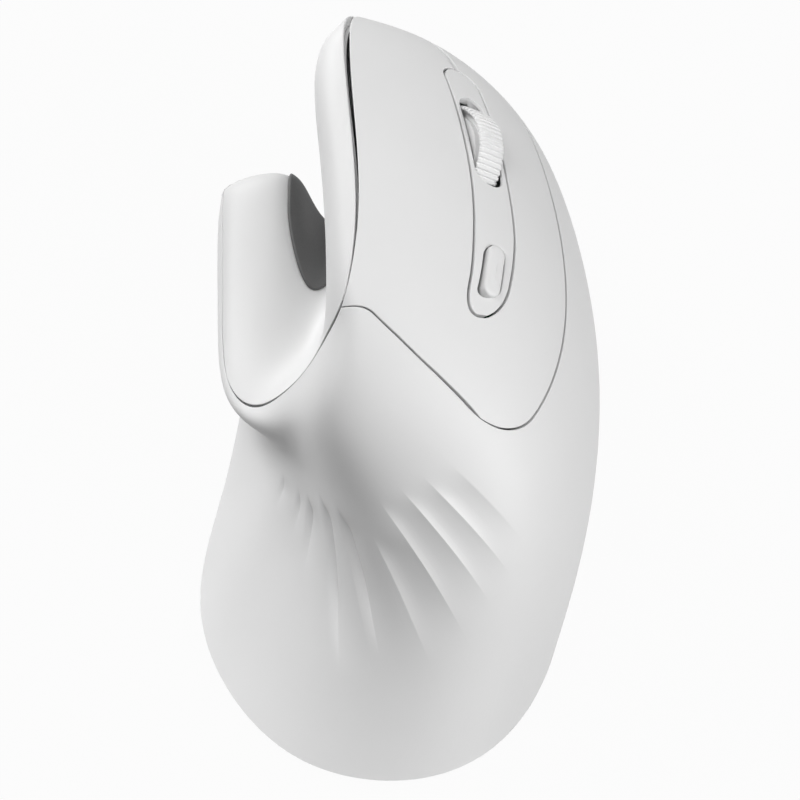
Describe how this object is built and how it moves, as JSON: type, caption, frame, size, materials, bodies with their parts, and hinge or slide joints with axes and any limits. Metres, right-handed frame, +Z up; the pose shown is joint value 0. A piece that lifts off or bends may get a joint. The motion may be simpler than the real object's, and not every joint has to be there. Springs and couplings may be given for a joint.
{
  "type": "vertical ergonomic mouse",
  "caption": "Right-handed vertical mouse: sloped finger face with click keys, scroll wheel and pill button, thumb cradle with wing, fluted palm and a flared heel on glide feet.",
  "frame": {"origin": "middle of the box around the mouse, on the desk plane", "axes": "+X to the finger side, +Y to the nose away from the palm, +Z up from the desk"},
  "size_m": [0.0719, 0.1215, 0.0694],
  "materials": {
    "white_plastic": "fine matte moulded",
    "grey_plastic": "matte moulded",
    "black_plastic": "matte moulded",
    "wheel_rubber": "ribbed matte",
    "grip_pad": "soft matte",
    "glide_pad": "smooth low-friction",
    "circuit_board": "solder mask",
    "steel": "plain",
    "cell_can": "wrapped foil",
    "clear_lens": "clear moulded"
  },
  "bodies": {
    "housing": {"palm_shell": "white_plastic", "thumb_panel": "white_plastic", "button_cover": "white_plastic", "wheel_strip": "white_plastic", "nose_panel": "white_plastic", "wing_cap": "white_plastic", "base_plate": "grey_plastic", "front_foot": "glide_pad", "rear_foot": "glide_pad", "thumb_foot": "glide_pad", "thumb_pad": "grip_pad", "inner_frame": "grey_plastic", "button_board": "circuit_board", "left_switch": "black_plastic", "right_switch": "black_plastic", "middle_switch": "black_plastic", "pill_switch": "black_plastic", "side_board": "circuit_board", "forward_switch": "black_plastic", "back_switch": "black_plastic", "main_board": "circuit_board", "optical_sensor": "black_plastic", "sensor_lens": "clear_lens", "battery_cell": "cell_can", "charging_socket": "steel", "case_screws": "steel", "board_screws": "steel"},
    "left_key": {"left_button": "white_plastic"},
    "right_key": {"right_button": "white_plastic"},
    "wheel_cradle": {"wheel_carrier": "black_plastic", "wheel_encoder": "grey_plastic"},
    "wheel": {"scroll_wheel": "white_plastic", "wheel_tyre": "wheel_rubber", "wheel_axle": "steel"},
    "pill": {"pill_button": "white_plastic"},
    "forward_key": {"forward_button": "white_plastic"},
    "back_key": {"back_button": "white_plastic"},
    "power_switch": {"power_slider": "black_plastic"}
  },
  "joints": [
    {"name": "left_click", "type": "hinge", "parent": "housing", "child": "left_key", "pos_m": [0.00261, 0.00203, 0.06214], "axis": [-0.8353, 0.4232, 0.351], "range_deg": [0, 0.6], "stiffness_Nm_per_rad": 1.7, "springref_deg": -0.29},
    {"name": "right_click", "type": "hinge", "parent": "housing", "child": "right_key", "pos_m": [0.01865, -0.00637, 0.05155], "axis": [-0.6333, 0.3516, 0.6894], "range_deg": [0, 0.6], "stiffness_Nm_per_rad": 1.7, "springref_deg": -0.29},
    {"name": "wheel_press", "type": "slide", "parent": "housing", "child": "wheel_cradle", "axis": [-0.62, -0.152, -0.7697], "range_m": [0, 0.0005], "stiffness_N_per_m": 1500, "springref_m": -0.0002},
    {"name": "wheel_spin", "type": "hinge", "parent": "wheel_cradle", "child": "wheel", "pos_m": [0.00965, 0.03468, 0.0526], "axis": [0.764, 0.1063, -0.6364], "continuous": true},
    {"name": "pill_press", "type": "slide", "parent": "housing", "child": "pill", "axis": [-0.5811, 0.0945, -0.8083], "range_m": [0, 0.0004], "stiffness_N_per_m": 1500, "springref_m": -0.0002},
    {"name": "forward_press", "type": "slide", "parent": "housing", "child": "forward_key", "axis": [0.9919, -0.0983, 0.0798], "range_m": [0, 0.0005], "stiffness_N_per_m": 1500, "springref_m": -0.0002},
    {"name": "back_press", "type": "slide", "parent": "housing", "child": "back_key", "axis": [0.9901, -0.1383, 0.0235], "range_m": [0, 0.0005], "stiffness_N_per_m": 1500, "springref_m": -0.0002},
    {"name": "power_slide", "type": "slide", "parent": "housing", "child": "power_switch", "axis": [0, 1, 0], "range_m": [0, 0.003]}
  ]
}
